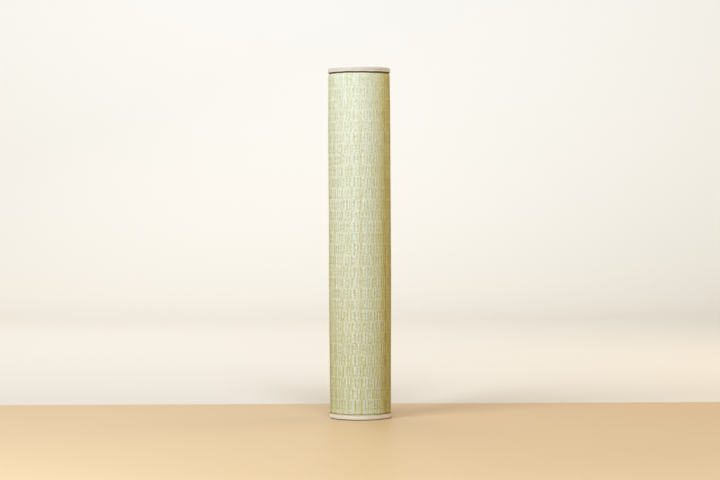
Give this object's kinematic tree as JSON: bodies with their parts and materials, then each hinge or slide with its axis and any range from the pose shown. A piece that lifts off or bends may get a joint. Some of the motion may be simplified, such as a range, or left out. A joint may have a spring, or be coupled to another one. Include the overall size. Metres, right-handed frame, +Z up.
{
  "type": "rolled tatami mat",
  "caption": "Woven rush mat with cloth-bound long edges, rolled up tight and standing on end, with an empty core.",
  "frame": {"origin": "on the ground, at the centre of the standing roll's footprint", "axes": "+Z up along the roll, from the foot tape to the top tape; the loose outer end lies towards +Y"},
  "size_m": [0.1064, 0.1096, 0.6],
  "materials": {
    "rush": "woven dried rush, dry, with a faint sheen",
    "tape": "matt woven tape"
  },
  "bodies": {
    "root": {"rush_mat": "rush", "edge_tape_foot": "tape", "edge_tape_top": "tape"}
  },
  "joints": []
}
